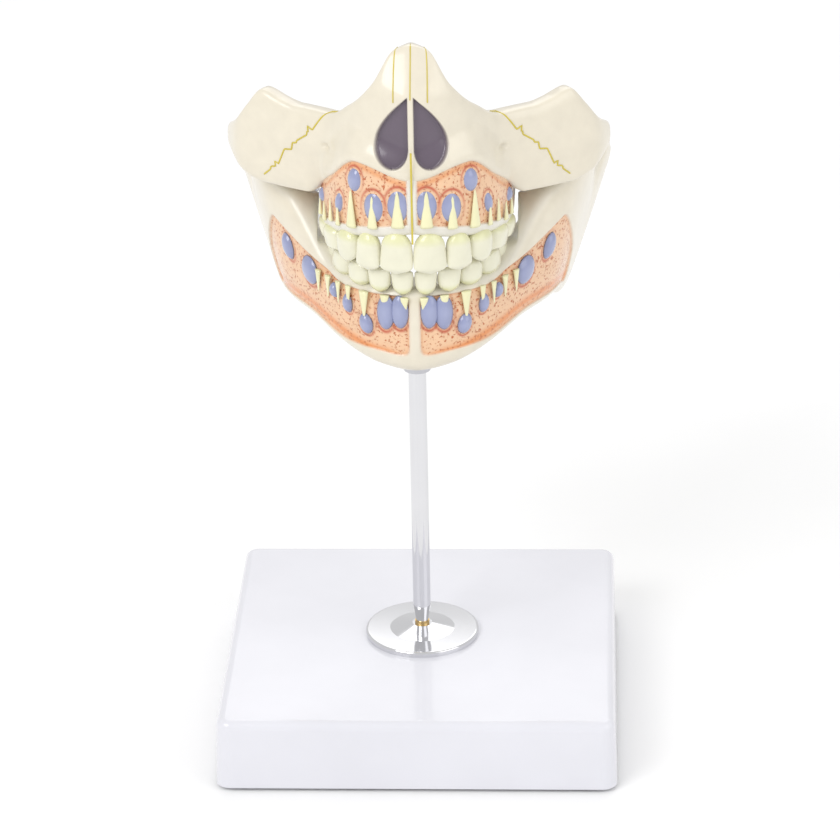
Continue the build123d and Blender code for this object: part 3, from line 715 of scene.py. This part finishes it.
def pear(x, z):
    """Above 0 inside either half of the nasal opening: an oval below, drawn in to a point at the top."""
    share = (z - nasal_low_z) / nasal_height
    low = np.sqrt(np.clip(1 - ((0.26 - share) / 0.26) ** 2, 0, 1))
    oval = 4.4 * low - np.abs(np.abs(x) - 5.0)
    high = np.clip((share - 0.26) / 0.74, 0, 1)
    taper = np.minimum(9.4 * (1 - high ** 1.9) - np.abs(x), np.abs(x) - 0.6)
    value = np.where(share < 0.26, oval, taper)
    return np.where((share > 0) & (share < 1), value, -1.0)


def plate_wall(distance):
    """Thickness of the face plate."""
    return through([0, 14, 30, face_line[0][-1]], [6.0, 6.0, 7.0, 6.0], distance)


def plate_shift(x, y, z, bottom):
    """How far back the face plate lies: its nose bends back, its lower edge is drawn forward to the ridge."""
    bridge = 6.5 * ease(168, 183, z) * np.exp(-((x / 12) ** 2))
    flare = np.interp(np.abs(x), ridge_line[1][:400], ridge_line[2][:400])
    pull = (1 - ease(0.5, 9.0, z - bottom)) * (1 - ease(20, 26, np.abs(x)))
    return bridge - np.clip(y - (flare - 0.3), 0, 6) * pull


def make_maxilla():
    """Face plate, and the tooth-bearing ridge with its palate and the bone over the springs."""
    rows = 400
    length = face_line[0][-1]
    even = np.linspace(-1, 1, rows)
    along = (length * (0.5 * even + 0.5 * even ** 3))[:, None]
    across, lift = section(150, 50, plate_across, plate_up)
    x, y, out_x, out_y = on_line(face_line, along)
    top = face_top(np.abs(x))
    bottom = face_bottom(np.abs(x))
    z = 0.5 * (top + bottom) + 0.5 * (top - bottom) * lift
    wall = plate_wall(np.abs(along))
    end = np.sqrt(np.clip(1 - ease(0.96, 1.0, np.abs(along) / length) ** 2, 0.02, 1))
    depth = 0.5 * wall * (1 - across * end)
    outer = ease(0.3, 0.8, across)
    opening = pear(x, z) * (across > 0)
    dark = ease(-0.1, 0.45, opening)
    depth = depth + 1.4 * ease(0.0, 0.6, opening)
    foramen = np.exp(-(((np.abs(x) - 22.3) / 0.9) ** 2 + ((z - 151.5) / 0.8) ** 2)) * outer
    depth = depth + 0.9 * foramen
    shift = plate_shift(x, y, z, bottom)
    points = np.stack([x - depth * out_x, y - depth * out_y + shift, z + 0 * depth], -1)
    paint = np.broadcast_to(bone_paint, points.shape)
    paint = mix(paint, cavity_paint, dark)
    resin = finishes["resin"]
    plate = [(points, paint, 0.0)]
    joined("face_plate_painted", plate, resin, "upper_jaw", ["maxilla"])
    ridge = [ridge_grid(), palate_grid(), buttress_grid(1), buttress_grid(-1)]
    joined("tooth_ridge_painted", ridge, resin, "upper_jaw", ["maxilla"])


def ridge_grid():
    """Tooth-bearing ridge: a rounded section carried round the arch, painted as the upper windows."""
    rows = 320
    length = ridge_line[0][-1]
    along = (length * np.linspace(-1, 1, rows))[:, None]
    s = np.abs(along)
    across, lift = section(110, 50, 5.0, 2.9)
    x, y, out_x, out_y = on_line(ridge_line, along)
    top = face_bottom(np.abs(x)) + ridge_overlap
    bottom = upper_crest_z - 0.9 - 0.15 * np.minimum(s, 33)
    z = 0.5 * (top + bottom) + 0.5 * (top - bottom) * lift
    end = np.sqrt(np.clip(1 - ease(0.95, 1.0, s / length) ** 2, 0.02, 1))
    depth = 0.5 * ridge_wall * (1 - across * end)
    outer = ease(0.3, 0.8, across)
    inside = np.minimum(z - (bottom + 3.2), s - 1.1)
    depth = depth + window_depth * ease(-0.15, 0.45, inside) * outer
    window = ease(0.0, 0.4, inside) * outer
    paint = np.broadcast_to(gum_paint, (*z.shape, 3))
    paint = mix(paint, peach_paint, window)
    edge = face_bottom(np.abs(x)) - z
    paint = mix(paint, orange_paint, 0.6 * np.exp(-((edge - 0.7) / 0.7) ** 2) * window)
    germs = germ_list(upper_germs, upper_teeth)
    paint = ring_round_germs(paint, along, z, germs, upper_crest_z, window, 1)
    return np.stack([x - depth * out_x, y - depth * out_y, z], -1), paint, window


def buttress_grid(side):
    """Bone over a spring: a rounded block, its rings and its height both superellipses."""
    rows, columns = 30, 60
    level = np.linspace(-np.pi / 2, np.pi / 2, rows)[:, None]
    turn = np.linspace(0, 2 * np.pi, columns, endpoint=False)[None]
    ring = np.abs(np.cos(level)) ** 0.3
    wide, deep, tall = buttress_size
    place_x, place_y, place_z = buttress_place
    x = side * place_x + wide * ring * np.sign(np.cos(turn)) * np.abs(np.cos(turn)) ** 0.6
    y = place_y + deep * ring * np.sign(np.sin(turn)) * np.abs(np.sin(turn)) ** 0.6
    z = place_z + tall * np.sign(np.sin(level)) * np.abs(np.sin(level)) ** 0.5 + 0 * x
    return np.stack([x, y, z], -1), bone_paint, 0.0


def palate_grid():
    """Vault of the palate: rings shrinking to the middle and rising as one minus the radius squared.

    Its upper side is the same vault, a palate's thickness higher."""
    rows, columns = 40, 72
    ring = np.concatenate([np.linspace(1, 0.02, rows // 2), np.linspace(0.02, 1, rows // 2)])[:, None]
    under = (np.arange(rows) < rows // 2)[:, None]
    turn = np.linspace(0, 2 * np.pi, columns, endpoint=False)[None]
    wide, deep, rise = palate_size
    place_x, place_y, place_z = palate_place
    x = place_x + wide * ring * np.cos(turn)
    y = place_y + deep * ring * np.sin(turn)
    vault = place_z + rise * (1 - ring ** 2)
    z = np.where(under, vault, vault + palate_wall) + 0 * x
    return np.stack([x, y, z], -1), gum_paint, 0.0


def ribbon(name, path, width, paint, body):
    """Raised painted line: a low half-round section carried along a path of points on the face plate."""
    path = np.asarray(path, float)
    ahead = np.gradient(path, axis=0)
    ahead /= np.linalg.norm(ahead, axis=1)[:, None]
    front = np.array([0.0, -1.0, 0.15])
    side = np.cross(ahead, front)
    side /= np.linalg.norm(side, axis=1)[:, None]
    out = np.cross(side, ahead)
    turn = np.linspace(0, 2 * np.pi, 10, endpoint=False)
    points = path[:, None] + 0.5 * width * np.cos(turn)[None, :, None] * side[:, None]
    points = points + 0.22 * width * np.sin(turn)[None, :, None] * out[:, None]
    return joined(name, [(points, paint, 0.0)], finishes["resin"], body)


def face_point(x, z):
    """Point on the front of the face plate, following its rounded section over the top edge."""
    far = np.abs(x)
    travelled = np.interp(far, face_line[1], face_line[0])
    px, py, out_x, out_y = on_line(face_line, np.where(x < 0, -travelled, travelled))
    top = face_top(far)
    bottom = face_bottom(far)
    height = np.clip((2 * z - top - bottom) / (top - bottom), -1, 1)
    depth = 0.5 * plate_wall(travelled) * (1 - (1 - np.abs(height) ** plate_up) ** (1 / plate_across))
    px = px - depth * out_x
    py = py - depth * out_y + plate_shift(px, py, z, bottom)
    return np.stack([px, py - 0.1, z + 0 * x], -1)


def make_sutures():
    """Bone seams: three down the nose, a zigzag across each cheek, and one down the middle to the teeth."""
    steps = np.linspace(0, 1, 90)
    for name, x in (("seam_nose_left", 4.2), ("seam_nose_middle", 0.0), ("seam_nose_right", -4.2)):
        path = face_point(x + 0 * steps, face_top(abs(x)) - 11.4 * steps)
        ribbon(name, path, 0.3, suture_paint, "upper_jaw")
    generator = np.random.default_rng(7)
    corners = np.sort(generator.uniform(0.05, 1, 17))
    wobble = generator.uniform(0.1, 1, 17) * (-1.0) ** np.arange(17)
    zigzag = 0.8 * np.interp(steps, corners, wobble) * ease(0, 0.1, steps)
    for name, side in (("seam_cheek_left", 1), ("seam_cheek_right", -1)):
        far = 21.3 + 17.5 * steps + 0.6 * zigzag
        z = face_top(21.3) - 20.4 * steps ** 1.1 + zigzag
        ribbon(name, face_point(side * far, z), 0.42, suture_paint, "upper_jaw")
    z = 156.8 - 24.0 * steps
    x, y, _, _ = on_line(ridge_line, 0.0)
    front = np.minimum(y, face_point(0 * z, np.maximum(z, 148.6))[:, 1]) - 0.05
    ribbon("seam_middle", np.stack([0 * z, front, z], -1), 0.5, suture_paint, "upper_jaw")


# ------------------------------------------------------------ springs


def make_spring(side_name, side):
    """Closed coil: a wire circle carried round a helix, its end turns flattened into the cups."""
    low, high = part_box(f"{side_name}_spring")
    middle = 0.5 * (low + high) / to_metres
    radius = 3.6
    wire = 0.4
    steps = 9 * 28
    t = np.linspace(0, 1, steps)
    turn = 2 * np.pi * 9 * t * side
    climb = np.interp(t, [0, 0.08, 0.92, 1], [0, 0.03, 0.97, 1])
    z = low.z / to_metres + wire + climb * ((high.z - low.z) / to_metres - 2 * wire)
    path = np.stack([middle.x + radius * np.cos(turn), middle.y + radius * np.sin(turn), z], -1)
    outward = np.stack([np.cos(turn), np.sin(turn), 0 * turn], -1)
    ring = np.linspace(0, 2 * np.pi, 10, endpoint=False)
    points = path[:, None] + wire * np.cos(ring)[None, :, None] * outward[:, None]
    points = points + wire * np.sin(ring)[None, :, None] * np.array([0, 0, 1.0])
    piece = joined(
        f"{side_name}_coil", [(points, (0.5, 0.5, 0.5), 0.0)],
        finishes["spring_steel"], None, [f"{side_name}_spring"],
    )
    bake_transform(piece)


# ------------------------------------------------------------ stand, stage and camera


def finish_cad_nodes():
    """Gives each node kept from the solid model the finish of its own material slot."""
    for part in frame["record"]["subparts"]:
        node = frame["nodes"].get(part["node"])
        finish = finishes.get(part["material_slot"])
        if node is None or finish is None:
            continue
        node.data.materials.clear()
        node.data.materials.append(finish)


def make_floor():
    """Plain pale floor."""
    mesh = bpy.data.meshes.new("floor")
    reach = 4.0
    corners = [(-reach, -reach, 0), (reach, -reach, 0), (reach, reach, 0), (-reach, reach, 0)]
    mesh.from_pydata(corners, [], [(0, 1, 2, 3)])
    floor = bpy.data.objects.new("floor", mesh)
    bpy.context.scene.collection.objects.link(floor)
    floor.data.materials.append(plain_finish("pale_floor", (0.93, 0.93, 0.93), 0.9, grain=5.0, relief=0.0))


def add_light(name, place, size, power):
    """Square soft light aimed at the jaws."""
    lamp = bpy.data.lights.new(name, "AREA")
    lamp.size = size
    lamp.energy = power
    light = bpy.data.objects.new(name, lamp)
    bpy.context.scene.collection.objects.link(light)
    light.location = place
    aim = np.array([0, 0, 0.12]) - np.array(place)
    turn = math.atan2(aim[1], aim[0])
    tip = math.atan2(math.hypot(aim[0], aim[1]), -aim[2])
    light.rotation_euler = (tip, 0, turn - math.pi / 2)


def make_stage():
    """White surroundings, a large key light at the upper left, a fill at the right and one from behind."""
    make_floor()
    world = bpy.data.worlds.new("studio")
    bpy.context.scene.world = world
    world.use_nodes = True
    world.node_tree.nodes["Background"].inputs["Color"].default_value = (1, 1, 1, 1)
    world.node_tree.nodes["Background"].inputs["Strength"].default_value = 0.78
    add_light("key", (-0.6, -0.7, 0.9), 0.6, 5.2)
    add_light("fill", (0.8, -0.5, 0.6), 0.8, 2.0)
    add_light("back", (0.1, 0.8, 0.9), 0.8, 2.4)
    bpy.context.scene.view_settings.view_transform = "Standard"


def make_camera():
    """Long lens in front, looking down at the stand."""
    pitch, yaw, roll = (math.radians(a) for a in (24.76, 2.8, -1.15))
    back = np.array([math.sin(yaw) * math.cos(pitch), -math.cos(yaw) * math.cos(pitch), math.sin(pitch)])
    right = np.array([math.cos(yaw), math.sin(yaw), 0])
    up = np.cross(back, right)
    across = right * math.cos(roll) + up * math.sin(roll)
    upward = up * math.cos(roll) - right * math.sin(roll)
    camera = bpy.data.objects.new("camera", bpy.data.cameras.new("camera"))
    bpy.context.scene.collection.objects.link(camera)
    camera.data.lens = 166.7
    camera.data.sensor_width = 36
    camera.data.dof.use_dof = False
    placed_matrix = np.eye(4)
    placed_matrix[:3, 0] = across
    placed_matrix[:3, 1] = upward
    placed_matrix[:3, 2] = back
    placed_matrix[:3, 3] = (0.0444, -0.8987, 0.4951)
    camera.matrix_world = Matrix(placed_matrix.tolist())
    bpy.context.scene.camera = camera


finish_cad_nodes()
make_mandible()
make_maxilla()
make_teeth("upper", upper_teeth, upper_arch, "upper_jaw")
make_teeth("lower", lower_teeth, lower_arch, "lower_jaw")
make_germs("upper", upper_germs, upper_teeth, upper_crest_z, ridge_face, "upper_jaw")
make_germs("lower", lower_germs, lower_teeth, lower_crest_z, mandible_face, "lower_jaw")
make_sutures()
make_spring("left", 1)
make_spring("right", -1)
make_stage()
make_camera()
